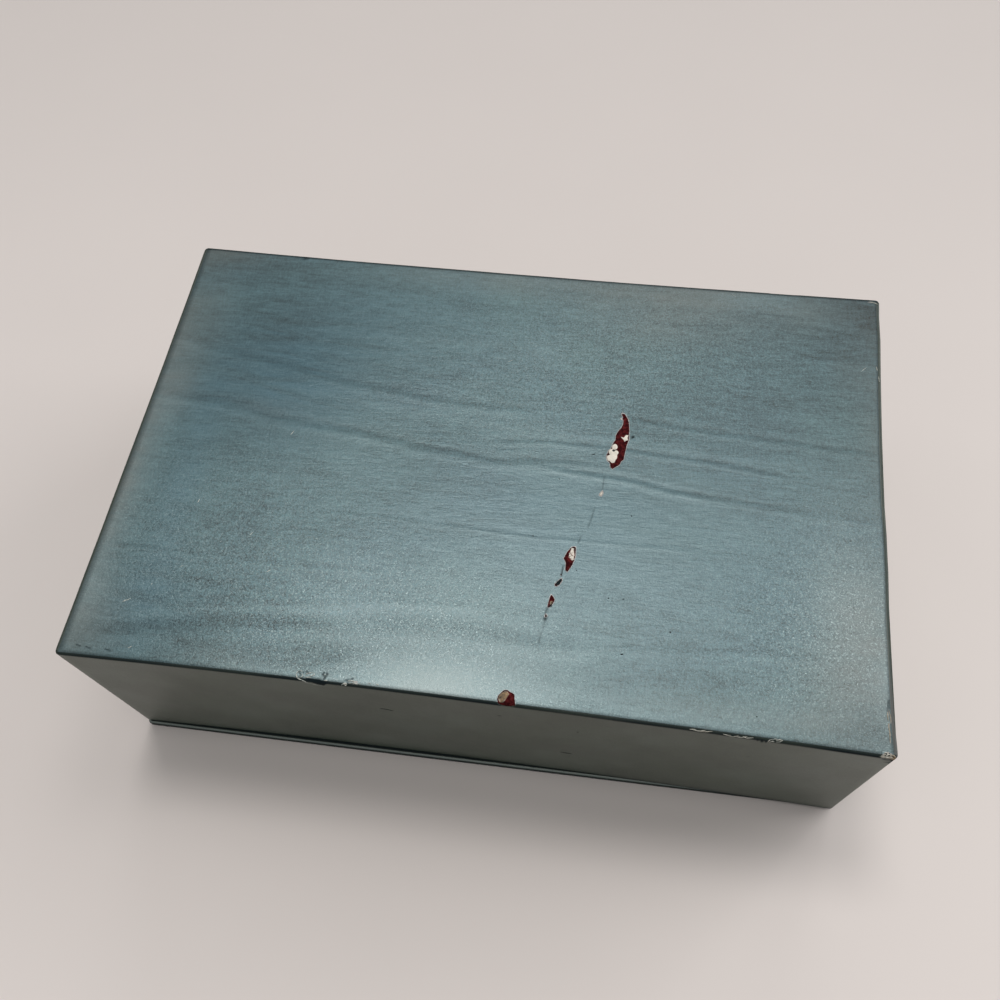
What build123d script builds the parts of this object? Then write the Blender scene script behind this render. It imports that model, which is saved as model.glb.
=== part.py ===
from build123d import *
import math
import os

# A collar box of paper-covered strawboard. A deep lid lifts off an inner tray, and the tray
# is glued to a base board of the lid's own outline, which shows as a thin ledge below it.
# Lengths are in millimetres. X runs along the box, Y from its front to its back, and Z up.
# The origin is on the table, under the middle of the base.

# Outside of the closed box, and the rounding of its upright corners
box_length = 305.0
box_depth = 199.0
box_height = 95.0
corner_radius = 2.0

# How far the middle of each lid wall has warped inwards
front_bow = 1.8
back_bow = 1.2
left_bow = 0.4
right_bow = 0.9

# Boards
lid_wall_thickness = 2.4
lid_top_thickness = 2.4
base_thickness = 2.4
tray_wall_thickness = 2.0

# Papers, and the film of paste between a wall's boards and its papers
cover_paper = 0.35
lining_paper = 0.25
stay_paper = 0.2
paste = 0.1

# Laps: how far a cover is turned over an edge, how far the top sheet and the pastedown stay
# back from the edge that they cover, and how far a stay reaches from its corner
turn_in = 12.0
top_sheet_margin = 1.6
pastedown_margin = 4.0
stay_leg = 18.0

# Clearances: tray to lid at the middle of the most warped walls, and lid edge to base ledge
fit_gap = 0.8
seat_gap = 0.6

# The lid sits askew, by this share of the fit gap at its corners
askew_share = 2.0

# The outer edges of a cover are worn round, by this share of its paper
edge_round_share = 2.2

# The loose fit lets the lid turn clockwise, seen from above
half_diagonal = math.hypot(box_length, box_depth) / 2
lid_turn = -math.degrees(askew_share * fit_gap / half_diagonal)
edge_radius = edge_round_share * cover_paper

# Heights in the base, from the table up
base_turn_in_z = lining_paper
base_board_z = base_turn_in_z + cover_paper
base_board_top = base_board_z + base_thickness
ledge_z = base_board_top + cover_paper

# Heights in the lid, from its top down
lid_band_z = box_height - cover_paper
lid_board_top = lid_band_z - cover_paper
lid_top_board_z = lid_board_top - lid_top_thickness
ceiling_z = lid_top_board_z - lining_paper
lid_edge_z = ledge_z + seat_gap
lid_board_z = lid_edge_z + cover_paper

# The lid rests on the tray's rim
rim_z = ceiling_z
tray_board_top = rim_z - cover_paper

# Depths in from a wall's outer face: where its boards start, and where its inner papers do
board_face = cover_paper + paste
lid_lining_face = board_face + lid_wall_thickness + paste
tray_lining_face = board_face + tray_wall_thickness + paste

# The tray clears the lid's turned-in cover where the walls have warped in furthest
lid_wall_total = lid_lining_face + cover_paper
tray_wall_total = tray_lining_face + cover_paper
tray_length = box_length - 2 * (lid_wall_total + max(left_bow, right_bow) + fit_gap)
tray_depth = box_depth - 2 * (lid_wall_total + max(front_bow, back_bow) + fit_gap)


class Plan:
    """A four-sided plan: its outer size, how far each side bows in, and its turn about Z."""

    def __init__(self, length, depth, front=0, right=0, back=0, left=0, turn=0):
        self.length = length
        self.depth = depth
        self.front, self.right, self.back, self.left = front, right, back, left
        self.frame = Plane.XY.rotated((0, 0, turn))


lid_plan = Plan(box_length, box_depth, front_bow, right_bow, back_bow, left_bow, lid_turn)
base_plan = Plan(box_length, box_depth)
tray_plan = Plan(tray_length, tray_depth)


def draw_side(start, end, bow):
    """Draws one side of an anticlockwise plan, straight or bowed inwards."""
    if bow:
        SagittaArc(start, end, bow)
    else:
        Line(start, end)


def draw_plan(plan, inset, mode=Mode.ADD):
    """Draws a plan, inset all round and with its corners rounded, as a face of the sketch."""
    x = plan.length / 2 - inset
    y = plan.depth / 2 - inset
    with BuildLine() as outline:
        draw_side((-x, -y), (x, -y), plan.front)
        draw_side((x, -y), (x, y), plan.right)
        draw_side((x, y), (-x, y), plan.back)
        draw_side((-x, y), (-x, -y), plan.left)
        if corner_radius > inset:
            fillet(outline.vertices(), corner_radius - inset)
    make_face(outline.edges(), mode=mode)


def draw_long_strip(plan, inset, way, mode):
    """Draws all that lies outside the inner face of the front wall (way 1) or the back (-1)."""
    x = way * (plan.length / 2 - inset)
    y = way * (plan.depth / 2 - inset)
    outer_x = way * plan.length / 2
    outer_y = way * plan.depth / 2
    with BuildLine() as outline:
        draw_side((-x, -y), (x, -y), plan.front if way > 0 else plan.back)
        Polyline((x, -y), (outer_x, -y), (outer_x, -outer_y), (-outer_x, -outer_y),
                 (-outer_x, -y), (-x, -y))
    make_face(outline.edges(), mode=mode)


def add_slab(plan, inset, low, high):
    """Adds a plate of a plan, inset all round, to the open part."""
    with BuildSketch(plan.frame.offset(low)) as profile:
        draw_plan(plan, inset)
    extrude(profile.sketch, amount=high - low)


def add_ring(plan, outer, inner, low, high):
    """Adds a wall that runs round a plan, between two insets, to the open part."""
    with BuildSketch(plan.frame.offset(low)) as profile:
        draw_plan(plan, outer)
        draw_plan(plan, inner, mode=Mode.SUBTRACT)
    extrude(profile.sketch, amount=high - low)


def top_outline(cover):
    """The outer loop of edges of a cover's topmost face."""
    return cover.part.faces().sort_by(Axis.Z)[-1].outer_wire().edges()


def make_stay(plan, x_way, y_way, low, high):
    """A corner stay: a paper strip bent round one corner, under the cover."""
    with BuildPart() as stay:
        with BuildSketch(plan.frame.offset(low)):
            draw_plan(plan, board_face)
            draw_plan(plan, board_face + stay_paper, mode=Mode.SUBTRACT)
            corner = ((plan.length - stay_leg) / 2, (plan.depth - stay_leg) / 2)
            with Locations((x_way * corner[0], y_way * corner[1])):
                Rectangle(stay_leg, stay_leg, mode=Mode.INTERSECT)
        extrude(amount=high - low)
    return stay


def make_long_board(plan, thickness, way, low, high, stays):
    """A front (way 1) or back (-1) board. It runs the whole length, under the stays."""
    inner = board_face + thickness
    with BuildPart() as board:
        with BuildSketch(plan.frame.offset(low)):
            draw_plan(plan, board_face)
            draw_plan(plan, inner, mode=Mode.SUBTRACT)
            draw_long_strip(plan, inner, way, mode=Mode.INTERSECT)
        extrude(amount=high - low)
        for stay in stays:
            add(stay.part, mode=Mode.SUBTRACT)
    return board


def make_short_board(plan, thickness, way, low, high, stays):
    """A right (way 1) or left (-1) board. It fits between the front and back boards."""
    inner = board_face + thickness
    with BuildPart() as board:
        with BuildSketch(plan.frame.offset(low)):
            draw_plan(plan, board_face)
            draw_plan(plan, inner, mode=Mode.SUBTRACT)
            draw_long_strip(plan, inner, 1, mode=Mode.SUBTRACT)
            draw_long_strip(plan, inner, -1, mode=Mode.SUBTRACT)
            with Locations((way * plan.length / 4, 0)):
                Rectangle(plan.length / 2, plan.depth, mode=Mode.INTERSECT)
        extrude(amount=high - low)
        for stay in stays:
            add(stay.part, mode=Mode.SUBTRACT)
    return board


def make_walls(name, plan, thickness, low, high):
    """Four boards butted at the corners, and the four stays pressed flush into them."""
    corners = {"front_left": (-1, -1), "front_right": (1, -1),
               "back_left": (-1, 1), "back_right": (1, 1)}
    stays = {f"{name}_stay_{corner}": make_stay(plan, x_way, y_way, low, high)
             for corner, (x_way, y_way) in corners.items()}
    size = (low, high, stays.values())
    boards = {
        f"{name}_front_board": make_long_board(plan, thickness, 1, *size),
        f"{name}_back_board": make_long_board(plan, thickness, -1, *size),
        f"{name}_left_board": make_short_board(plan, thickness, -1, *size),
        f"{name}_right_board": make_short_board(plan, thickness, 1, *size),
    }
    return boards | stays


pieces = {}

# Base board: the flat bottom, of the lid's own outline
with BuildPart() as base_board:
    add_slab(base_plan, board_face, base_board_z, base_board_top)
pieces["base_board"] = base_board

# Base cover: laid over the board's top, round its edges and turned in below
with BuildPart() as base_cover:
    add_slab(base_plan, 0, base_board_top, ledge_z)
    add_ring(base_plan, 0, cover_paper, base_turn_in_z, ledge_z)
    add_ring(base_plan, 0, turn_in, base_turn_in_z, base_board_z)
    fillet(top_outline(base_cover), edge_radius)
pieces["base_cover"] = base_cover

# Pastedown: the sheet below the base. It also fills the opening that the turn-ins leave
with BuildPart() as base_pastedown:
    add_slab(base_plan, pastedown_margin, 0, base_turn_in_z)
    add_slab(base_plan, turn_in, base_turn_in_z, base_board_z)
pieces["base_pastedown"] = base_pastedown

# Tray walls, glued upright on the covered base board
pieces |= make_walls("tray", tray_plan, tray_wall_thickness, ledge_z, tray_board_top)

# Tray cover: up the outside, over the rim and turned in
with BuildPart() as tray_cover:
    add_ring(tray_plan, 0, cover_paper, ledge_z, rim_z)
    add_ring(tray_plan, 0, tray_wall_total, tray_board_top, rim_z)
    add_ring(tray_plan, tray_lining_face, tray_wall_total, rim_z - turn_in, rim_z)
    fillet(top_outline(tray_cover), edge_radius)
pieces["tray_cover"] = tray_cover

# Tray linings: one sheet on the floor, and a band round the walls up to the turn-in
floor_z = ledge_z + lining_paper
with BuildPart() as tray_floor_lining:
    add_slab(tray_plan, tray_lining_face, ledge_z, floor_z)
pieces["tray_floor_lining"] = tray_floor_lining

with BuildPart() as tray_wall_lining:
    add_ring(tray_plan, tray_lining_face, tray_lining_face + lining_paper,
             floor_z, rim_z - turn_in)
pieces["tray_wall_lining"] = tray_wall_lining

# Lid walls, with the top board glued on their upper ends
pieces |= make_walls("lid", lid_plan, lid_wall_thickness, lid_board_z, lid_top_board_z)

with BuildPart() as lid_top_board:
    add_slab(lid_plan, board_face, lid_top_board_z, lid_board_top)
pieces["lid_top_board"] = lid_top_board

# Lid band: round the walls, turned in over their lower edge and over the top board's edge
with BuildPart() as lid_side_cover:
    add_ring(lid_plan, 0, cover_paper, lid_edge_z, lid_band_z)
    add_ring(lid_plan, 0, lid_wall_total, lid_edge_z, lid_board_z)
    add_ring(lid_plan, lid_lining_face, lid_wall_total, lid_edge_z, lid_edge_z + turn_in)
    add_ring(lid_plan, 0, turn_in, lid_board_top, lid_band_z)
    fillet(top_outline(lid_side_cover), edge_radius)
pieces["lid_side_cover"] = lid_side_cover

# Top sheet: laid over the band's turned edge, and filling the opening inside it
with BuildPart() as lid_top_sheet:
    add_slab(lid_plan, top_sheet_margin, lid_band_z, box_height)
    add_slab(lid_plan, turn_in, lid_board_top, lid_band_z)
pieces["lid_top_sheet"] = lid_top_sheet

# Lid linings: one sheet under the top board, and a band round the walls above the turn-in
with BuildPart() as lid_top_lining:
    add_slab(lid_plan, lid_lining_face, ceiling_z, lid_top_board_z)
pieces["lid_top_lining"] = lid_top_lining

with BuildPart() as lid_wall_lining:
    add_ring(lid_plan, lid_lining_face, lid_lining_face + lining_paper,
             lid_edge_z + turn_in, ceiling_z)
pieces["lid_wall_lining"] = lid_wall_lining

os.makedirs("parts", exist_ok=True)
for name, piece in pieces.items():
    piece.part.label = name
    export_step(piece.part, f"parts/{name}.step")
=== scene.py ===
import math

import bpy
import numpy as np
from mathutils import Matrix, Vector


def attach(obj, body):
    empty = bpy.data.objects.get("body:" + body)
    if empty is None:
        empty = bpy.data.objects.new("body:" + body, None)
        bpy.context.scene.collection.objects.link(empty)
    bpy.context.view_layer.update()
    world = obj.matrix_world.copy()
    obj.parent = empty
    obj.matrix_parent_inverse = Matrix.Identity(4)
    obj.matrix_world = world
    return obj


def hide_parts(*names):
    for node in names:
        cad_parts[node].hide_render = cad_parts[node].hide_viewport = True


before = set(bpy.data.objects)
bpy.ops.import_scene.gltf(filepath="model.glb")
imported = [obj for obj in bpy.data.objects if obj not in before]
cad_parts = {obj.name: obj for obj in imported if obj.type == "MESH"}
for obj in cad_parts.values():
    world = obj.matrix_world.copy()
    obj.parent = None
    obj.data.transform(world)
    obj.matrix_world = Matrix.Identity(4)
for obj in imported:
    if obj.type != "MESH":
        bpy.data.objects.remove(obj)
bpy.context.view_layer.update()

scene = bpy.context.scene
scene.view_settings.view_transform = "Standard"
mm = 0.001

# Camera: where the photograph was taken from, above the front and a little to the right.
# Its place and directions come from the sharp corners that the photograph shows.
focal_pixels = 971.07
middle_pixel = (517.03, 503.62)
frame_pixels = 1000
sensor = 36.0
camera_place = Vector((0.04743, -0.19149, 0.43192))
camera_right = Vector((0.99071, 0.12897, -0.0432))
camera_down = Vector((0.09433, -0.88031, -0.46493))
camera_ahead = Vector((-0.09799, 0.45653, -0.88429))

camera_data = bpy.data.cameras.new("camera")
camera_data.sensor_width = sensor
camera_data.lens = sensor * focal_pixels / frame_pixels
camera_data.shift_x = 0.5 - middle_pixel[0] / frame_pixels
camera_data.shift_y = middle_pixel[1] / frame_pixels - 0.5
camera_data.clip_start = 0.01
camera = bpy.data.objects.new("camera", camera_data)
camera.matrix_world = Matrix.Translation(camera_place) @ Matrix(
    (camera_right, -camera_down, -camera_ahead)).transposed().to_4x4()
scene.collection.objects.link(camera)
scene.camera = camera

# Floor: a wide pale table top, matte, faintly cloudy, and painted a little paler towards the
# camera, a painted light falloff. It is stage, not object.
floor_half = 5.0
floor_colour = (0.573, 0.525, 0.503)
near_y, far_y, near_bright, far_bright = -0.55, 0.75, 1.22, 0.76


class Value:
    """What comes out of a node, as one socket. Arithmetic on it adds Math nodes."""

    def __init__(self, nodes, socket):
        self.nodes = nodes
        self.socket = socket

    def math(self, operation, *terms):
        return self.nodes.add("ShaderNodeMath", {"operation": operation}, dict(enumerate(terms)))

    def __add__(self, other):
        return self.math("ADD", self, other)

    def __sub__(self, other):
        return self.math("SUBTRACT", self, other)

    def __rsub__(self, other):
        return self.math("SUBTRACT", other, self)

    def __mul__(self, other):
        return self.math("MULTIPLY", self, other)

    __radd__, __rmul__ = __add__, __mul__


class Nodes:
    """The node tree of a material or of the room."""

    def __init__(self, owner):
        owner.use_nodes = True
        self.tree = owner.node_tree
        self.tree.nodes.clear()

    def fill(self, node, inputs):
        """Sets or links a node's inputs, by name or number."""
        for key, value in inputs.items():
            if isinstance(value, Value):
                self.tree.links.new(value.socket, node.inputs[key])
            else:
                node.inputs[key].default_value = value

    def add(self, kind, settings=None, inputs=None, output=0):
        """Adds a node: its settings first, then its inputs. Returns one of its outputs."""
        node = self.tree.nodes.new(kind)
        for key, value in (settings or {}).items():
            setattr(node, key, value)
        self.fill(node, inputs or {})
        return Value(self, node.outputs[output]) if len(node.outputs) else None


class Finish(Nodes):
    """A material of one Principled shader."""

    def __init__(self, name, **fixed):
        self.material = bpy.data.materials.new(name)
        super().__init__(self.material)
        self.shader = self.tree.nodes.new("ShaderNodeBsdfPrincipled")
        self.output = self.tree.nodes.new("ShaderNodeOutputMaterial")
        self.tree.links.new(self.shader.outputs[0], self.output.inputs["Surface"])
        self.use(**fixed)

    def use(self, **sockets):
        """Sets or links the shader's own sockets."""
        self.fill(self.shader, {name.replace("_", " "): value for name, value in sockets.items()})

    def layer(self, cover, **fixed):
        """Lays a second shader over the first where cover is 1. use() is for that one from now."""
        under = Value(self, self.shader.outputs[0])
        self.shader = self.tree.nodes.new("ShaderNodeBsdfPrincipled")
        over = Value(self, self.shader.outputs[0])
        both = self.add("ShaderNodeMixShader", None, {0: cover, 1: under, 2: over})
        self.tree.links.new(both.socket, self.output.inputs["Surface"])
        self.use(**fixed)

    def place(self, scale, turn=0.0):
        """Object coordinates, turned about Z, then scaled."""
        where = self.add("ShaderNodeTexCoord", output="Object")
        turned = self.add("ShaderNodeMapping", {"vector_type": "TEXTURE"},
                          {"Vector": where, "Rotation": (0, 0, turn)})
        return self.add("ShaderNodeVectorMath", {"operation": "MULTIPLY"}, {0: turned, 1: scale})

    def noise(self, per_metre, detail=2.0, rough=0.5, turn=0.0, warp=0.0):
        """Noise from 0 to 1 about 0.5. per_metre is its cells in a metre, one number or three."""
        scale = per_metre if isinstance(per_metre, tuple) else (per_metre,) * 3
        return self.add("ShaderNodeTexNoise", None,
                        {"Vector": self.place(scale, turn), "Scale": 1.0, "Detail": detail,
                         "Roughness": rough, "Distortion": warp})

    def attribute(self, name):
        """A number stored at the mesh's points."""
        return self.add("ShaderNodeAttribute", {"attribute_name": name}, output="Fac")

    def rise(self, value, low, high, bottom=0.0, top=1.0):
        """A smooth step from bottom to top as the value goes from low to high."""
        return self.add("ShaderNodeMapRange", {"interpolation_type": "SMOOTHSTEP"},
                        {"Value": value, "From Min": low, "From Max": high,
                         "To Min": bottom, "To Max": top})

    def blend(self, factor, first, second):
        """The first colour where the factor is 0, the second where it is 1."""
        return self.add("ShaderNodeMix", {"data_type": "RGBA"}, {0: factor, 6: first, 7: second}, 2)

    def dim(self, colour, factor):
        """A colour made lighter or darker by a factor."""
        return self.add("ShaderNodeVectorMath", {"operation": "SCALE"}, {0: colour, "Scale": factor})

    def relief(self, height, depth):
        """A bump whose full height is a depth in metres."""
        return self.add("ShaderNodeBump", None, {"Height": height, "Distance": depth, "Strength": 1.0})


def new_object(name, points, faces):
    """An object whose mesh is an array of points and a list of faces."""
    mesh = bpy.data.meshes.new(name)
    mesh.from_pydata(points, [], faces)
    piece = bpy.data.objects.new(name, mesh)
    scene.collection.objects.link(piece)
    return piece


floor_corners = [(x * floor_half, y * floor_half, 0) for x, y in ((-1, -1), (1, -1), (1, 1), (-1, 1))]
floor = new_object("floor", floor_corners, [(0, 1, 2, 3)])
floor_finish = Finish("floor_paint", Roughness=0.75, Specular_IOR_Level=0.2)
cloud = floor_finish.noise(9.0, 3.0)
away = floor_finish.add("ShaderNodeSeparateXYZ", None, {0: floor_finish.place((1, 1, 1))}, 1)
# Painted light: the floor's colour grows paler towards the camera and darker away from it
painted_falloff = floor_finish.rise(away, near_y, far_y, near_bright, far_bright)
floor_finish.use(Base_Color=floor_finish.dim(floor_colour, painted_falloff * (0.98 + 0.04 * cloud)))
floor.data.materials.append(floor_finish.material)

# Light: soft lamps three metres off: a large one low behind the box, a brighter one low to the
# right like a window, a dim one to the left, and three small ones high up, whose broad glows lie
# across the front and the right of the lid. The room around them is pale and even.
lamp_aim = Vector((0, 0, 0.05))
lamp_distance = 3.0
room_light, room_seen = 0.30, 0.60
room_tint = (0.97, 1.0, 1.01)
warm_lamp = (1.0, 0.98, 0.955)

# Lamps: heading in degrees from the back towards the right, height in degrees, width and watts
lamps = {"back_lamp": (0, 20, 2.2, 24.7), "window_lamp": (60, 20, 2.2, 59.9),
         "left_lamp": (-60, 20, 2.2, 7.9), "front_lamp": (180, 84, 0.9, 16.8),
         "glow_lamp": (-25, 74, 0.7, 27.9), "right_lamp": (35, 64, 0.9, 10.9)}
for name, (heading, height, width, power) in lamps.items():
    heading, height = math.radians(heading), math.radians(height)
    toward = Vector((math.sin(heading) * math.cos(height), math.cos(heading) * math.cos(height),
                     math.sin(height)))
    lamp_data = bpy.data.lights.new(name, "AREA")
    lamp_data.size = width
    lamp_data.energy = power
    lamp_data.color = warm_lamp if height > math.radians(60) else (1, 1, 1)
    lamp = bpy.data.objects.new(name, lamp_data)
    lamp.matrix_world = (Matrix.Translation(lamp_aim + toward * lamp_distance)
                         @ (-toward).to_track_quat("-Z", "Y").to_matrix().to_4x4())
    scene.collection.objects.link(lamp)

room = bpy.data.worlds.new("room")
scene.world = room
air = Nodes(room)

# The camera, and what reflects or lets light through, see a pale wall; bounced light is dimmer
camera_ray, clear_ray, glossy_ray = (
    air.add("ShaderNodeLightPath", output=f"Is {kind} Ray")
    for kind in ("Camera", "Transmission", "Glossy"))
seen = camera_ray.math("MAXIMUM", camera_ray, clear_ray)
seen = seen.math("MAXIMUM", seen, glossy_ray)
dim_room, pale_room = (
    air.add("ShaderNodeBackground", None, {"Color": (*room_tint, 1), "Strength": strength})
    for strength in (room_light, room_seen))
both = air.add("ShaderNodeMixShader", None, {0: seen, 1: dim_room, 2: pale_room})
air.add("ShaderNodeOutputWorld", None, {"Surface": both})

# Base board: the flat bottom, tan strawboard of coarse straw pulp. All of it is covered; the
# paper goes over its top and edges and a second sheet closes its underside.
straw_dark = (0.30, 0.19, 0.10, 1)
straw_light = (0.56, 0.42, 0.26, 1)


def dress(names, finish):
    """Gives CAD nodes a finish."""
    for name in names:
        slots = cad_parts[name].data.materials
        slots.clear()
        slots.append(finish.material)


strawboard = Finish("strawboard", Roughness=0.9, Specular_IOR_Level=0.2)
straw = strawboard.noise((300, 1100, 1100), 4.0, 0.7, turn=0.4, warp=0.6)
pulp = strawboard.noise(90, 3.0, 0.6)
husk = strawboard.rise(strawboard.noise((500, 1600, 900), 2.0, turn=-0.9), 0.62, 0.70)
board_colour = strawboard.blend(straw * 0.7 + pulp * 0.3, straw_dark, straw_light)
strawboard.use(Base_Color=strawboard.dim(board_colour, 1.0 - 0.3 * husk),
               Normal=strawboard.relief(straw, 0.15 * mm))
dress(["base_board"], strawboard)

# Base cover: dark red paper pasted over the board's top, round its edges and turned in below.
# The blue-green paint was brushed on with the lid in place, so it stops in a ragged line just
# inside the ledge and just under the bottom edge.
box_length, box_depth, box_height = 305 * mm, 199 * mm, 95 * mm
corner_radius = 2.0 * mm
cover_paper = 0.35 * mm
turn_in = 12 * mm
base_turn_in_z, base_board_z, base_board_top = 0.25 * mm, 0.6 * mm, 3.0 * mm
ledge_z = base_board_top + cover_paper
base_edge_round = 0.9 * mm
ledge_paint_reach = 2.6 * mm
under_paint_reach = 1.2 * mm

red_paper = (0.020, 0.0015, 0.0025, 1)
red_paper_worn = (0.085, 0.011, 0.011, 1)
paper_core = (0.62, 0.58, 0.51, 1)
paper_core_tan = (0.120, 0.082, 0.048, 1)


pace_samples = 4001


def graded(low, high, step, fine_step=None, fine=()):
    """Places from low to high, a step apart, and a finer step apart inside the fine ranges,
    which are in mm."""
    places = np.linspace(low, high, pace_samples)
    pace = np.full(places.shape, 1.0 / step)
    for start, end in fine:
        pace[(places > start * mm) & (places < end * mm)] = 1.0 / fine_step
    run = np.concatenate(([0.0], np.cumsum((pace[1:] + pace[:-1]) / 2 * np.diff(places))))
    return np.interp(np.linspace(0, run[-1], int(round(run[-1])) + 1), run, places)


class Plan:
    """A box's plan, sampled once round, anticlockwise from its front-left corner. along and up
    hold each sample's place on the sides, from -1 to 1; out_x and out_y its outward direction."""

    corner_steps = 7
    least_radius = 0.1 * mm

    def __init__(self, length, depth, x_places, y_places, bows=(0, 0, 0, 0), turn=0.0):
        self.half_x, self.half_y = length / 2, depth / 2
        self.front, self.right, self.back, self.left = bows
        self.turn = turn
        arc = np.radians(np.linspace(0, 90, self.corner_steps + 2)[1:-1])
        samples = []
        for quarter, places in enumerate((x_places / self.half_x, y_places / self.half_y) * 2):
            # The front side and the corner at its end, then turned a quarter for each next side
            along, up = np.append(places, np.ones(len(arc))), -np.ones(len(places) + len(arc))
            for _ in range(quarter):
                along, up = -up, along
            angle = np.radians(90 * quarter - 90) + np.append(np.zeros(len(places)), arc)
            samples.append((along, up, np.cos(angle).round(9), np.sin(angle).round(9)))
        self.along, self.up, self.out_x, self.out_y = np.concatenate(samples, axis=1)

    def carry(self, insets, heights, swell=0.0):
        """Carries a profile of insets and heights round the plan. A point is the side's place
        times the half size less inset and corner radius, plus the corner radius outward, plus
        the side's bow inwards, which falls to nothing at the corners as 1 less the place
        squared. swell, in metres, moves points outward. Returns points by sample and profile."""
        inset = np.asarray(insets)[None, :]
        along, up = self.along[:, None], self.up[:, None]
        out_x, out_y = self.out_x[:, None], self.out_y[:, None]
        radius = np.maximum(corner_radius - inset, self.least_radius)
        grow = radius + swell
        x = along * (self.half_x - inset - radius) + out_x * grow
        y = up * (self.half_y - inset - radius) + out_y * grow
        x += (1 - up ** 2) * (self.left * np.maximum(-out_x, 0) - self.right * np.maximum(out_x, 0))
        y += (1 - along ** 2) * (self.front * np.maximum(-out_y, 0) - self.back * np.maximum(out_y, 0))
        z = np.broadcast_to(np.asarray(heights)[None, :], x.shape)
        c, s = math.cos(self.turn), math.sin(self.turn)
        return np.stack((x * c - y * s, x * s + y * c, z), axis=-1)


def profile(*runs):
    """A profile's insets and heights. Each run is a pair of them, where one may be a single
    number that holds for the whole run."""
    insets, heights = zip(*(np.broadcast_arrays(*run) for run in runs))
    return np.concatenate(insets), np.concatenate(heights)


def wrap_faces(rounds, across, closed=True):
    """Quads over a grid of points that runs once round and, where closed, joins up across."""
    i, j = np.meshgrid(np.arange(rounds), np.arange(across if closed else across - 1), indexing="ij")
    i2, j2 = (i + 1) % rounds, (j + 1) % across
    quads = np.stack((i * across + j, i2 * across + j, i2 * across + j2, i * across + j2), axis=-1)
    return quads.reshape(-1, 4).tolist()


def finish_piece(name, points, faces, finish, body, replaced, values, sharp=35):
    """Makes a piece: its mesh, smooth but for its sharp edges, its stored values, its finish and
    its place in the frame. A value given for part of the points' grid is repeated over it."""
    piece = new_object(name, points.reshape(-1, 3), faces)
    mesh = piece.data
    mesh.polygons.foreach_set("use_smooth", np.ones(len(mesh.polygons), bool))
    mesh.set_sharp_from_angle(angle=math.radians(sharp))
    for key, numbers in values.items():
        spread = np.broadcast_to(numbers, points.shape[:-1]).astype(np.float32)
        mesh.attributes.new(key, "FLOAT", "POINT").data.foreach_set("value", spread.ravel())
    mesh.materials.append(finish.material)
    mesh.update()
    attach(piece, body)
    if replaced:
        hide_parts(*replaced)


wave_count = 9


def soft_waves(u, v, seed, longest):
    """Slow uneven waves of two coordinates, about -1 to 1: a sum of sines of seeded directions,
    phases and lengths, the longest one given."""
    pick = np.random.default_rng(seed)
    total = np.zeros(np.broadcast(u, v).shape)
    for n in range(wave_count):
        heading, phase = pick.uniform(0, math.pi), pick.uniform(0, 2 * math.pi)
        pace = 2 * math.pi / longest * (1 + 0.45 * n)
        total += np.sin(pace * (u * math.cos(heading) + v * math.sin(heading)) + phase) / (1 + 0.5 * n)
    return total / 2.5


def bell(offset, half_width):
    """The bell curve: 1 where the offset is nothing, falling off over the half width."""
    return np.exp(-(offset / half_width) ** 2)


def ramp(value, length=1.0):
    """A straight rise from 0 to 1 as the value goes from nothing to a length."""
    return np.clip(value / length, 0, 1)


def corner_arc(inset, height, radius, start, steps=6):
    """Points of a quarter round, in inset and height, about a centre, from an angle onwards."""
    angle = np.radians(start + np.linspace(0, 90, steps + 1))
    return inset - radius * np.cos(angle), height + radius * np.sin(angle)


brown_film = (0.063, 0.064, 0.057, 1)
blue_film = (0.022, 0.076, 0.104, 1)
# Almost black, for black marks and for painted shade
black_marks_and_painted_shade = (0.008, 0.013, 0.015, 1)
flake_white = (0.240, 0.300, 0.300, 1)
torn_pink = (0.42, 0.33, 0.31, 1)
flakes_everywhere = 0.15


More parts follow.
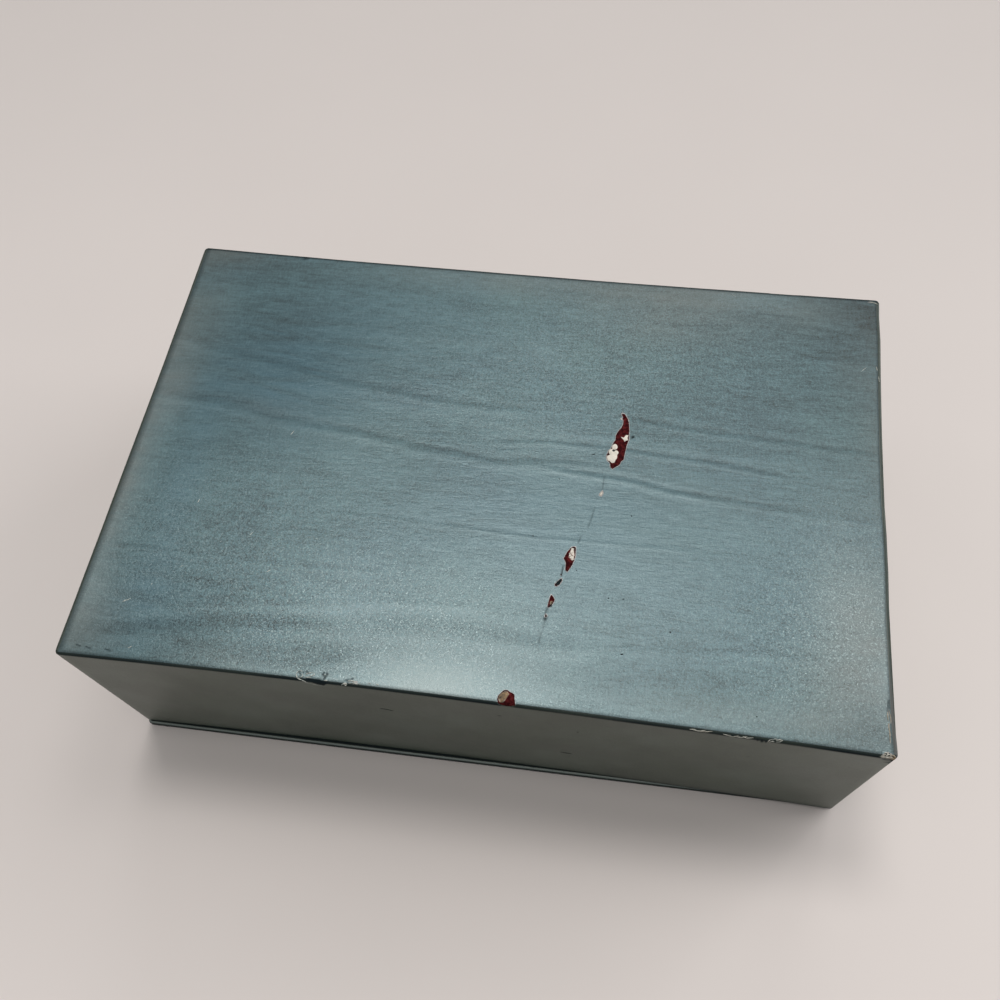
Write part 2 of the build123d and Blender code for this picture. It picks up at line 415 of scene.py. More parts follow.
def make_paint(name, bluer, greener, roughness, index, gloss_tint=(1, 1, 1, 1), uneven=1.0, torn=0.0):
    """Brushed metallic paint, a film over red paper over the paper's core. Stored values: paint
    is how far, in mm, a point is inside the painted area and paper how far inside the unbroken
    paper; core goes from white paper (0) to tan board (1); tone makes the paint paler or
    darker, for painted highlights and painted shade as well as uneven tone; warm makes it
    browner, cool bluer, flakes gives it more sparkle, and dark is where it is made almost black
    and matte, for black marks and for painted shade. uneven scales the brushed bands and clouds,
    and torn how pale the paint is along a chip."""
    finish = Finish(name, Roughness=0.9, Specular_IOR_Level=0.06)
    ragged = finish.noise(1500, 2.0, 0.6) - 0.5
    fray = finish.noise(5200, 1.0) - 0.5
    edge = finish.attribute("paint") + ragged * 0.5 + fray * 0.25
    paint = finish.rise(edge, -0.06, 0.06)
    paper = finish.rise(finish.attribute("paper") + ragged * 0.4 + fray * 0.25, -0.06, 0.06)
    band = (finish.noise((26, 170, 26), 3.0, 0.6, turn=-0.04, warp=0.8) - 0.5) * uneven
    thread = (finish.noise((150, 700, 150), 3.0, 0.6, turn=0.02, warp=0.5) - 0.5) * uneven
    cross = (finish.noise((1100, 260, 200), 2.0, 0.6) - 0.5) * uneven
    patch = (finish.noise(14, 3.0, 0.5, warp=0.8) - 0.5) * uneven
    sparkle = flakes_everywhere + finish.attribute("flakes")
    grain = (finish.noise(1500, 2.0, 0.8) - 0.5) * (0.15 + 1.65 * sparkle)
    flake = finish.rise(finish.noise(2100, 2.0, 0.7), 0.50, 0.68) * sparkle
    tone = finish.attribute("tone")
    dark = finish.attribute("dark")
    worn = finish.noise(700, 3.0, 0.6)
    red = finish.blend(finish.rise(worn, 0.36, 0.70), red_paper, red_paper_worn)
    tan = finish.attribute("core")
    core = finish.blend(tan + (worn - 0.5) * 0.5, paper_core, paper_core_tan)
    core = finish.dim(core, 1.0 + (worn - 0.5) * (0.6 + 6.0 * tan))
    skin_relief = finish.relief(
        grain * 1.7 + cross * 0.4 + flake * 0.3 + paint * 1.8 + thread * 1.6, 0.06 * mm)
    # Painted shade: the bared paper and core are darkened just inside the paint's broken edge
    bared_and_edge_shade = finish.dim(finish.blend(paper, core, red), 1.0 - 0.55 * finish.rise(edge, -0.5, -0.05))
    finish.use(Base_Color=finish.blend(dark * 4.0, bared_and_edge_shade, black_marks_and_painted_shade), Normal=skin_relief)
    finish.layer(paint * (1.0 - dark), IOR=index, Specular_Tint=gloss_tint)
    # tone brings in painted highlights and painted shade; where it is pale it also turns the colour
    # towards the flakes' white
    shade = 0.8 * band + 1.1 * thread + 0.7 * cross + 0.4 * patch + 2.4 * grain + tone
    colour = finish.dim(finish.blend(patch * 1.5 + 0.5, bluer, greener), 1.0 + shade)
    browning = finish.attribute("warm") * (0.8 + 2.0 * patch + band)
    blueing = finish.attribute("cool") * (0.7 + 1.6 * band + patch)
    colour = finish.blend(blueing, finish.blend(browning, colour, brown_film), blue_film)
    colour = finish.blend(flake * 0.75 + tone * 0.35, colour, flake_white)
    colour = finish.blend(finish.rise(edge, 0.12, 0.34, torn, 0.0), colour, torn_pink)
    finish.use(Base_Color=colour, Metallic=0.2 + 0.7 * flake - 0.35 * shade,
               Roughness=roughness + grain * 0.25, Normal=skin_relief)
    return finish


edge_paint = make_paint("ledge_paint", (0.058, 0.070, 0.054, 1), (0.066, 0.074, 0.052, 1), 0.42, 1.5)
coarse = 2.5 * mm


def side_places(length, step=coarse, fine_step=None, fine=()):
    """Places along one straight side, between the corners, graded as above."""
    half = length / 2 - corner_radius
    return graded(-half, half, step, fine_step, fine)


foot_round = 0.8 * mm
crest_inset, crest_half = 0.6 * mm, 0.4 * mm
ledge_shade_inset, ledge_shade_fade = 0.95 * mm, 0.35 * mm
foot_top, foot_fade, foot_inset = 3.28 * mm, 0.3 * mm, 1.2 * mm
hidden_insets = (8 * mm, 4 * mm, cover_paper)
under_insets = np.linspace(9, 1.2, 9) * mm
whole_paper = 3.0

base_plan = Plan(box_length, box_depth, side_places(box_length), side_places(box_depth))
upper_round = corner_arc(base_edge_round, ledge_z - base_edge_round, base_edge_round, 0)
lower_round = corner_arc(foot_round, base_turn_in_z + foot_round, foot_round, -90, steps=4)
ledge_insets = np.array((1.0, 1.3, 1.8, 2.2, 2.6, 3.2, 4, 5, 6, 7, 7.5, 8)) * mm
insets, heights = profile(
    (hidden_insets, base_board_top), ((cover_paper, turn_in), base_board_z),
    ((turn_in, *under_insets), base_turn_in_z), lower_round, upper_round, (ledge_insets, ledge_z))
above = np.arange(len(insets)) >= len(insets) - len(ledge_insets) - len(upper_round[0])
painted = np.where(above, ledge_paint_reach, under_paint_reach) - insets
painted[:len(hidden_insets) + 3] = -1 * mm  # the hidden side, and its fold to the under side
points = base_plan.carry(insets, heights)
rounds, across = points.shape[:2]
faces = wrap_faces(rounds, across, closed=False)
faces.append([i * across for i in reversed(range(rounds))])
faces.append([i * across + across - 1 for i in range(rounds)])
# Painted highlight: the crest of the ledge's round is made paler and browner
painted_crest_highlight = bell(insets - crest_inset, crest_half) * above
# Painted shade: the ledge inside its crest, under the lid's edge, is made almost black
painted_ledge_shade = 0.95 * ramp(insets - ledge_shade_inset, ledge_shade_fade) * above
# Painted shade: the lowest part of the base's outer edge, next to the floor, is made dark
painted_base_foot_shade = 0.8 * ramp(foot_top - heights, foot_fade) * (insets < foot_inset)
values = {"paint": painted / mm, "paper": whole_paper, "tone": 1.1 * painted_crest_highlight, "warm": 0.6 * painted_crest_highlight,
          "dark": np.maximum(painted_ledge_shade, painted_base_foot_shade)}
finish_piece("base_cover_paper", points, faces, edge_paint, "base",
             ["base_cover"], values)

# Pastedown: a plain grey-cream sheet under the base, scuffed and browned where it has slid on
# shelves. It is pasted over the cover's turned-in edge.
sheet_clean = (0.50, 0.45, 0.36, 1)
sheet_soiled = (0.27, 0.21, 0.145, 1)
pastedown = Finish("pastedown_sheet", Roughness=0.85, Specular_IOR_Level=0.25)
soil = pastedown.noise(18, 4.0, 0.6, warp=0.5)
fibre = pastedown.noise((900, 260, 400), 3.0, 0.6)
scuff = pastedown.rise(pastedown.noise((70, 900, 70), 3.0, turn=0.5, warp=1.0), 0.60, 0.72)
scuff_across = pastedown.rise(pastedown.noise((1000, 60, 60), 3.0, turn=-0.35, warp=1.2), 0.62, 0.72)
soiling = pastedown.rise(soil + 0.2 * fibre, 0.42, 0.78)
sheet_colour = pastedown.blend(soiling, sheet_clean, sheet_soiled)
pastedown.use(
    Base_Color=pastedown.dim(sheet_colour, 0.92 + 0.12 * fibre - 0.22 * scuff - 0.18 * scuff_across),
    Normal=pastedown.relief(fibre - 0.3 * scuff, 0.06 * mm))
dress(["base_pastedown"], pastedown)

# Tray walls: four strawboards butted at the corners and glued upright on the covered base, with
# a strip of buff paper bent round each corner to hold them.
sides = ("front", "back", "left", "right")
corners = ("front_left", "front_right", "back_left", "back_right")
dress([f"tray_{side}_board" for side in sides], strawboard)
buff = Finish("buff_strip", Roughness=0.85, Specular_IOR_Level=0.25)
kraft = buff.noise((180, 180, 1400), 3.0, 0.65)
buff.use(Base_Color=buff.blend(kraft, (0.34, 0.23, 0.13, 1), (0.52, 0.39, 0.25, 1)),
         Normal=buff.relief(kraft, 0.05 * mm))
dress([f"tray_stay_{corner}" for corner in corners], buff)

# Tray cover: the box's own dark red paper, unpainted, up the outside of the tray, over the rim
# and turned in. It is rubbed pale along the rim and up the walls where the lid has slid.
tray_length, tray_depth = 295.0 * mm, 187.2 * mm
tray_wall = 2.9 * mm
rim_z = 91.65 * mm
rim_round = 0.8 * mm
rub_height, smear_height, wave_height = 1.5 * mm, 3 * mm, 0.10 * mm

tray_paper = Finish("tray_red_paper", Specular_IOR_Level=0.4)
pebble = tray_paper.noise(1900, 2.0, 0.55)
tint = tray_paper.noise(22, 3.0, 0.5)
slide = tray_paper.noise((420, 420, 26), 3.0, 0.6)
near_rim = tray_paper.attribute("rub")
rubbed = tray_paper.rise(near_rim + (pebble - 0.5) * 0.9 + (slide - 0.5) * 1.3, 0.45, 0.80)
slop = tray_paper.noise((230, 230, 120), 3.0, 0.6)
streaks = tray_paper.attribute("smear") + (slop - 0.5) * 2.2 + (tint - 0.5) * 2.0
smear = tray_paper.rise(streaks, 0.75, 0.95)
red = tray_paper.blend(tint * 0.8 + pebble * 0.3, (0.030, 0.0032, 0.0048, 1), (0.078, 0.010, 0.011, 1))
red = tray_paper.blend(rubbed * 0.7, red, (0.235, 0.10, 0.078, 1))
red = tray_paper.blend(smear * 0.85, red, (0.115, 0.165, 0.165, 1))
tray_paper.use(Base_Color=red, Roughness=0.50 + 0.25 * rubbed + 0.1 * pebble,
               Normal=tray_paper.relief(pebble, 0.05 * mm))

tray_plan = Plan(tray_length, tray_depth, side_places(tray_length), side_places(tray_depth))
wall_rows = 30
outer_rim = corner_arc(rim_round, rim_z - rim_round, rim_round, 0)
inner_rim = corner_arc(tray_wall - rim_round, rim_z - rim_round, rim_round, 90)
insets, heights = profile(
    (0.0, np.linspace(ledge_z, rim_z - rim_round - 0.5 * mm, wall_rows)), outer_rim, inner_rim,
    ((tray_wall, tray_wall - cover_paper), rim_z - turn_in),
    ((tray_wall - cover_paper, cover_paper), rim_z - cover_paper), ((cover_paper,), ledge_z))
outside = np.arange(len(insets)) < wall_rows
away = 1 - np.abs(tray_plan.along * tray_plan.up)[:, None] ** 6
x, y, z = np.moveaxis(tray_plan.carry(insets, heights), -1, 0)
waves = soft_waves(x - y, z, seed=11, longest=90 * mm)
points = tray_plan.carry(insets, heights, wave_height * waves * away * outside)
rub = np.exp(-np.maximum(rim_z - heights, 0) / rub_height) * (insets < tray_wall - 0.1 * mm)
corner_rub = 0.55 * np.abs(tray_plan.along * tray_plan.up)[:, None] ** 60
smears = np.exp(-(heights - ledge_z) / smear_height) * outside
finish_piece("tray_cover_paper", points, wrap_faces(*points.shape[:2]), tray_paper, "base",
             ["tray_cover"], {"rub": rub + corner_rub, "smear": smears})

# Tray linings: cream paper on the tray's floor and round its walls, up to the turned-in cover.
# Old, faintly laid, foxed and browned towards its edges.
lining = Finish("lining_sheet", Roughness=0.82, Specular_IOR_Level=0.25)
age = lining.noise(11, 4.0, 0.55, warp=0.6)
laid = lining.noise((1200, 90, 1200), 2.0, 0.5)
fox = lining.rise(lining.noise(170, 2.0, 0.5), 0.70, 0.80)
fox_fine = lining.rise(lining.noise(620, 1.0, 0.5), 0.76, 0.82)
cream = lining.blend(lining.rise(age, 0.35, 0.75), (0.66, 0.60, 0.475, 1), (0.50, 0.415, 0.28, 1))
cream = lining.blend(fox * 0.45 + fox_fine * 0.35, cream, (0.28, 0.17, 0.08, 1))
lining.use(Base_Color=lining.dim(cream, 0.95 + 0.1 * laid), Normal=lining.relief(laid, 0.035 * mm))
dress(["tray_floor_lining", "tray_wall_lining"], lining)

# Lid walls and top: thicker strawboards, butted and held by stays as the tray's are, with the
# top board glued on their upper ends. The front and back have warped inwards with age.
dress([f"lid_{side}_board" for side in (*sides, "top")], strawboard)
dress([f"lid_stay_{corner}" for corner in corners], buff)

# Lid side cover: red paper round the walls, turned in over their bottom edge and over the top
# board's edge, and brushed over with the paint. It is painted almost black along the top edge,
# a painted shade and dark reflection on its rounded fold, torn at places along the front and
# at the front right corner, and lapped on the back wall.
lid_wall = 3.3 * mm
lid_edge_z, lid_board_z, lid_board_top = 3.95 * mm, 4.3 * mm, 94.3 * mm
band_z = box_height - cover_paper
front_bow, right_bow, back_bow, left_bow = 1.8 * mm, 0.9 * mm, 1.2 * mm, 0.4 * mm
lid_turn = -1.6 * mm / (math.hypot(box_length, box_depth) / 2)
top_round, bottom_round = 1.05 * mm, 0.5 * mm
right_sway_up = (-1, -0.9, -0.76, -0.5, -0.3, -0.15, 0, 0.2, 0.5, 0.8, 0.93, 1)
right_sway_in = (-0.1, 0.3, 0.3, 0.3, -0.15, -0.1, 0.3, 0.25, 0.05, -0.25, 0.1, 0)
lap_place, lap_width, lap_step = 118 * mm, 12 * mm, 0.16 * mm
corner_wear_y, painted_shade_fade = -74 * mm, 0.3

# Damage seen in the photograph. An outline or a line is a run of x and y in its pixels, and a
# fleck is x, y and a radius. First where the paint is off, and where the red paper is off too
pixel_size = 0.45  # on the lid's top, in mm
thin_paper, tear_border, paint_past_tear = -0.05, 0.3, 0.05
tan_board, line_dark, smudge_dark, patch_border = 0.95, 0.85, 0.5, 0.7
gash = (
    622.4, 413, 625.2, 414.3, 627, 417.3, 628.3, 420.4, 629.2, 425.5, 629.2, 430.6, 628.9, 434.5,
    628.9, 439, 628, 442.3, 626.5, 445.9, 625.7, 450, 624.7, 454.1, 623.7, 459.2, 620.6, 462.2,
    619.6, 464.8, 616.5, 466.3, 612.4, 469.1, 610.4, 467.3, 610, 463, 607.2, 460.4, 606.5, 456.5,
    608.2, 451.5, 611.2, 448.4, 612.4, 444.4, 615.5, 439.8, 616, 435.2, 618.6, 430.6, 621.6, 427.6,
    623.2, 424, 623.4, 420.4, 622.7, 416.3, 621.6, 414.3)
middle_chip = (
    572.3, 546.8, 575.8, 546.8, 576, 549.9, 575.2, 556.8, 574, 560.8, 572.3, 564.9, 569.4, 568.9,
    567.4, 572, 565.1, 570, 565.8, 564.9, 565.4, 561.4, 563.7, 558.2, 566.3, 553.4, 569.4, 549.4)
low_chip = (
    551.1, 594.1, 554.8, 599.3, 553.4, 602.7, 550.8, 606.2, 548.8, 607.9, 547.3, 606.5, 549.1,
    599.9)
front_chip = (
    506.7, 690, 509.9, 691.6, 512.7, 693.2, 514.3, 694.8, 514.5, 698.9, 515.2, 703, 515, 706, 509,
    706.4, 503, 705.6, 498.6, 704, 497, 700.2, 497.2, 698, 498.4, 695.4, 500.9, 692.5, 503.8, 690.3)
small_chip = (602.4, 490.8, 603.2, 493.4, 601, 496.2, 599.2, 495.4, 600.4, 492.6)
low_board = (549.8, 601.2, 552.4, 601, 552.2, 604, 550.2, 604.8)
split_chip = (558.6, 580.6, 561.2, 577.9, 562.3, 580.2, 559, 584.9, 555.6, 586.6, 554.4, 584.4)
last_chip = (545.3, 613.6, 547.3, 615.2, 546.6, 617.8, 544.6, 617.4)
gash_flake = (
    620.1, 436.3, 624, 437.7, 625.8, 434.6, 628.6, 435.4, 627.4, 438.2, 629, 440.6, 626.6, 440,
    624.6, 441.6, 623.2, 439.4)
middle_fibres = (
    571.7, 547.3, 574.4, 548.2, 574.5, 553.4, 574.3, 559.1, 572.3, 560.8, 568.9, 558, 568.6, 553.9,
    570.6, 551.1)
front_board = (
    500.9, 693.4, 504.2, 691.2, 507.4, 691.6, 509.2, 694, 506.4, 698.2, 503.6, 701.8, 501.2, 702.6,
    499.2, 701.4, 498.2, 698.8, 498.6, 696.4)
corner_fibres = (
    879.8, 756.6, 883.6, 754.6, 885, 752.8, 887.6, 752.6, 891.3, 754.2, 893.4, 756.3, 893.2, 758.6,
    891.3, 759.4, 887.5, 759.1, 884.2, 758.1, 881.4, 757.8)
corner_board = (
    893.4, 756.6, 897, 757.5, 899.4, 761, 898.4, 764.5, 894.4, 765.6, 890.8, 763.2, 891.9, 759.5)
paint_off = (gash, middle_chip, low_chip, front_chip, small_chip, split_chip, last_chip,
             corner_fibres, corner_board)
paper_off = (gash_flake, front_board, low_board, small_chip, corner_fibres, corner_board)
board_bare = (front_board, low_board, corner_board)
white_flecks = (
    (614.8, 446.8, 2.8), (611.2, 451.6, 2.7), (615.9, 452.8, 2.5), (609.5, 458, 3),
    (612.8, 460.4, 2.6), (614.6, 457, 2.6), (612.4, 455.4, 2.2), (621.4, 419, 1), (561.1, 574.6, 1),
    (344.8, 683.6, 1.5), (349.6, 681.4, 1.6), (353.4, 682, 1.7), (356.8, 682.6, 1.6),
    (325.4, 680.4, 1.1))
torn_lines = (
    (888.1, 711.5, 890, 716.9, 890.8, 721.9, 887.9, 726.9, 889.8, 730.6, 891.2, 735, 891.4, 742),
    (868, 301.8, 873, 302.6, 878, 304.6))

# Made almost black: flecks, lines and patches
black_flecks = (
    (545.3, 618.6, 2), (632.5, 437.3, 1.6), (352.5, 678.8, 1.1), (883, 468, 1.5), (882, 474, 1.3),
    (306, 257.5, 2.4), (613.6, 450.6, 0.8), (300.1, 673.5, 1.3), (558.4, 582.6, 1.9),
    (560.6, 579.8, 1.1), (551.2, 606, 1.2), (303.4, 672.2, 1.1), (306.9, 673.4, 1.2),
    (323, 674.4, 1.3), (325, 676.8, 1.5), (327.2, 674.2, 1.3), (324.6, 672.4, 1),
    (773.4, 737.4, 1.2), (885.8, 755.2, 1.1), (889, 755.6, 0.8), (762, 740.6, 2), (766, 741.4, 1.4),
    (757.6, 739.6, 1.6))
smudged_lines = (
    (594.5, 508, 592, 517, 588.4, 527), (581, 536, 578.2, 543), (545, 622, 543.6, 627),
    (541.2, 632, 539, 642), (604.8, 476, 602.4, 489))
black_lines = (
    (563.4, 566, 561.2, 576), (547.2, 607, 545.8, 613), (887.5, 700.6, 887.7, 705, 887.5, 711.9),
    (883, 758.8, 888, 760.2, 892, 761.4), (875.4, 302.8, 878.6, 305.4),
    (876.4, 304.8, 878.6, 306.6), (76.7, 644.5, 80, 646), (86, 646.4, 90.7, 648.7),
    (105, 649, 110, 650.7), (118.3, 645, 120.7, 646), (324, 672.2, 322.8, 675, 325, 677),
    (326.8, 672.8, 327.6, 675.4, 325.6, 677), (345, 680.4, 350, 679.4, 353.6, 678.4),
    (299.4, 672.6, 301, 674.6), (306, 671, 308.8, 672.4))
black_patches = (
    (302.8, 676.2, 306, 677, 310, 678, 316, 677, 318, 679, 323.8, 680.8, 328, 681.8, 333, 682.4,
     337.5, 683, 343, 683.6, 343, 685, 337, 684.4, 331, 683.8, 327, 683.8, 323.8, 685.6, 317.5,
     684.4, 311, 682.2, 306, 679.6),
    (888.8, 761.8, 892.6, 763.4, 891, 767, 888.4, 765.6))
line_half = 0.75
camera_axes = np.array((camera_right, camera_down, camera_ahead))


def in_photo(points):
    """The photograph's pixels of some points: their distance from the camera to its right and
    downwards, each over their distance ahead, times the focal length, from the middle pixel."""
    right, down, ahead = np.moveaxis((points - np.array(camera_place)) @ camera_axes.T, -1, 0)
    return middle_pixel[0] + focal_pixels * right / ahead, middle_pixel[1] + focal_pixels * down / ahead


def from_line(x, y, line):
    """Distance from points to a line of several straight runs."""
    nearest, ends = np.full(x.shape, np.inf), np.reshape(line, (-1, 2))
    for (x0, y0), (x1, y1) in zip(ends[:-1], ends[1:]):
        dx, dy = x1 - x0, y1 - y0
        share = np.clip(((x - x0) * dx + (y - y0) * dy) / (dx * dx + dy * dy), 0, 1)
        nearest = np.minimum(nearest, np.hypot(x - x0 - share * dx, y - y0 - share * dy))
    return nearest


def depth_inside(x, y, outline):
    """How far points lie inside a closed outline, negative outside it: the distance to it, with
    its sign from how many of its sides a line from the point crosses."""
    closed, inside = np.reshape(outline + outline[:2], (-1, 2)), np.zeros(x.shape, bool)
    for (x0, y0), (x1, y1) in zip(closed[:-1], closed[1:]):
        inside ^= ((y0 > y) != (y1 > y)) & (x < x0 + (y - y0) / ((y1 - y0) or 1e-9) * (x1 - x0))
    return from_line(x, y, closed) * np.where(inside, 1, -1)


def damage(points):
    """The stored values of the photograph's damage at points near the lid's top and front: how
    far each is inside whole paint and whole paper, in mm, how bare the board is and how black."""
    x, y = in_photo(points)
    paint, paper = np.full(x.shape, whole_paper), np.full(x.shape, whole_paper)
    core, dark = np.zeros(x.shape), np.zeros(x.shape)
    for outline in paint_off:
        paint = np.minimum(paint, -depth_inside(x, y, outline) * pixel_size)
    for outline in paper_off:
        paper = np.minimum(paper, -depth_inside(x, y, outline) * pixel_size)
    thin = np.maximum(-depth_inside(x, y, middle_fibres) * pixel_size, thin_paper)
    paper = np.minimum(paper, thin)
    for cx, cy, size in white_flecks:
        paper = np.minimum(paper, (np.hypot(x - cx, y - cy) - size) * pixel_size)
    for line in torn_lines:
        paper = np.minimum(paper, (from_line(x, y, line) - line_half) * pixel_size)
    paint = np.minimum(paint, np.where(paper < tear_border, paper + paint_past_tear, whole_paper))
    for outline in board_bare:
        core = np.maximum(core, ramp(depth_inside(x, y, outline) + 1) * tan_board)
    for cx, cy, size in black_flecks:
        dark = np.maximum(dark, np.exp(-((np.hypot(x - cx, y - cy) / size) ** 4)))
    for lines, strength in ((black_lines, line_dark), (smudged_lines, smudge_dark)):
        for line in lines:
            dark = np.maximum(dark, strength * bell(from_line(x, y, line), line_half))
    for outline in black_patches:
        dark = np.maximum(dark, ramp(depth_inside(x, y, outline) / patch_border + 0.5))
    return paint, paper, core, dark


def spots(x, y, places):
    """Soft spots summed: each is its strength times the bell curve of the distance from its
    centre, in its own half widths along and across the box. A place is x, y, two half widths
    in mm and a strength."""
    x, y = x[..., None], y[..., None]
    cx, cy, wide, deep, strength = np.array(places).T
    return (strength * bell(x - cx, wide) * bell(y - cy, deep)).sum(axis=-1)


def soft_step(value, softness):
    """A soft step from 0 to 1 as the value passes nothing."""
    return 1 / (1 + np.exp(-value / softness))


# The walls' paint is a darker, warmer copy of the top's: painted shade and the floor's warm light on
# the walls
shaded_wall_paint = make_paint("shaded_wall_paint", (0.030, 0.046, 0.032, 1), (0.038, 0.050, 0.028, 1), 0.42, 1.55,
                        uneven=0.4)
lid_bows = (front_bow, right_bow, back_bow, left_bow)
torn_x, torn_y = ((-62, -30), (11, 22), (72, 112), (142, 150.5)), ((-98, -70),)
wall_step, torn_step_x, torn_step_y = 2 * mm, 0.36 * mm, 0.6 * mm
lid_plan = Plan(box_length, box_depth, side_places(box_length, wall_step, torn_step_x, torn_x),
                side_places(box_depth, wall_step, torn_step_y, torn_y), lid_bows, lid_turn)
lower_out = corner_arc(bottom_round, lid_edge_z + bottom_round, bottom_round, -90, steps=4)
upper_out = corner_arc(top_round, band_z - top_round, top_round, 0, steps=8)
lower_in = corner_arc(lid_wall - bottom_round, lid_edge_z + bottom_round, bottom_round, 180, steps=3)
rows_low, rows_high, fine_height = 18, 16, 10 * mm
row_foot, row_top = lid_edge_z + 1.5 * mm, band_z - top_round - 0.8 * mm
row_heights = np.concatenate((
    np.linspace(row_foot, row_top - fine_height, rows_low, endpoint=False),
    np.linspace(row_top - fine_height, row_top, rows_high)))
strip = np.array((1.4, 1.8, 2.4, 3.5, 6.0)) * mm

# Its profile: up the outside, over the top and back under, and down the inside to the foot
insets, heights = profile(
    lower_out, (0.0, row_heights), upper_out, (strip, band_z),
    (turn_in, (band_z, lid_board_top)), (cover_paper, (lid_board_top, lid_board_z)),
    (lid_wall - cover_paper, (lid_board_z, lid_edge_z + turn_in)),
    (lid_wall, (lid_edge_z + turn_in, lid_edge_z + 6 * mm, lid_edge_z + 2 * mm)), lower_in)
out_count = len(lower_out[0]) + len(row_heights) + len(upper_out[0])
strip_end = out_count + len(strip)
place = np.arange(len(insets))
outside = (place < out_count) & (heights < band_z - 0.05 * mm) & (heights > lid_edge_z + 0.05 * mm)

# The outside waves softly, sways in and out on the right, and steps in beside its lap
x, y, z = np.moveaxis(lid_plan.carry(insets, heights), -1, 0)
front_side, back_side, right_side = (
    np.maximum(out, 0)[:, None] for out in (-lid_plan.out_y, lid_plan.out_y, lid_plan.out_x))
away = 1 - np.abs(lid_plan.along * lid_plan.up)[:, None] ** 6
swell = wave_height * soft_waves(x - y, z, seed=5, longest=110 * mm) * away
swell = swell - mm * np.interp(lid_plan.up, right_sway_up, right_sway_in)[:, None] * right_side
lapped = soft_step(x - lap_place, 0.25 * mm)
swell = swell - lap_step * (1 - lapped) * back_side * (x > lap_place - lap_width)
points = lid_plan.carry(insets, heights, swell * outside)
paint, paper, core, dark = damage(points)
on_top = (z > band_z - top_round * 1.2) & (place < strip_end)
seen = on_top | ((front_side > 0.5) & (place < out_count))
paint, paper = np.where(seen, paint, whole_paper), np.where(seen, paper, whole_paper)
inner = place >= strip_end
paint = np.where(inner, 1.0 - np.minimum(insets, 9 * mm) / mm, paint)

# Painted shade and dark reflection: the rim is painted almost black along its fold, widest
# along the front's right half and fainter on the other sides; the strip that turns over on the
# top is a little browner, and the foot is painted darker, a painted shade
fold_width = np.interp(x / mm, (-150, -60, -20, 0, 150), (0.5, 0.5, 0.7, 1.0, 1.0)) * mm
painted_fold_shade = np.exp(-np.abs((z - band_z + 0.65 * fold_width) / fold_width) ** 3) * (place < out_count)
painted_rim_shade = ramp(z - band_z + 0.8 * mm, 0.3 * mm) * (place < out_count + 1)
near_corner = soft_step(corner_wear_y - y, 4 * mm) * right_side
other_sides = 0.85 * back_side + 0.55 * np.abs(lid_plan.out_x)[:, None]
painted_rim_shade = other_sides * painted_rim_shade * (1 - 0.4 * near_corner)
painted_fold_shade = np.where(front_side > 0.5, 0.97 * painted_fold_shade, painted_rim_shade)
# Painted shade: the lowest part of the wall, just above the lid's edge, is made darker, more so to the
# right
foot_height = np.interp(x / mm, (-60, 60), (0.7, 1.3)) * mm
foot = soft_step(lid_edge_z + foot_height - z, 0.2 * mm) * np.interp(x / mm, (-60, 60), (0.6, 0.97))
uneven = soft_waves(x + y, z, seed=17, longest=60 * mm)
painted_fold_shade = painted_fold_shade * (0.9 + 0.2 * uneven) * ramp(paint, painted_shade_fade)
dark = np.maximum(dark * seen, painted_fold_shade) * (1 - inner)
lap_line = 0.6 * bell(x - lap_place, 0.4 * mm) * back_side
dark = np.clip(dark + (foot + lap_line) * (1 - inner), 0, 1)
turned = (place >= out_count) & (place < strip_end)
tone = 0.12 * uneven + (0.35 - 0.5 * near_corner) * turned
brown_clouds = ramp(0.25 * soft_waves(x, 3 * z, seed=23, longest=120 * mm))
warm = 0.55 * turned + 1.2 * near_corner * on_top + brown_clouds
values = {"paint": paint, "paper": paper, "core": core, "tone": tone, "dark": dark, "warm": warm}
finish_piece("lid_side_paper", points, wrap_faces(*points.shape[:2]), shaded_wall_paint, "lid",
             ["lid_side_cover"], values)

# Lid top sheet: one sheet of the same paper, cut a little smaller than the top and pasted over
# the turned edges. It has soft creases across it, from the paste, and carries most of the chips.
front_margin, right_margin, back_margin, left_margin = 0.9 * mm, 1.5 * mm, 1.1 * mm, 1.6 * mm
edge_drop = 0.132 * mm
chip_depth, fibre_rise = 0.14 * mm, 0.22 * mm
crease_depth = 0.13 * mm
fold_end, ridge_offset = 12, 1.9
chip_slope, fibre_slope = 0.25, 0.4
sag_depth, sag_inset, edge_width = 0.09 * mm, 20, 0.5
skirt_out, skirt_drop, skirt_in = 0.05 * mm, 0.12 * mm, turn_in - 1.2 * mm

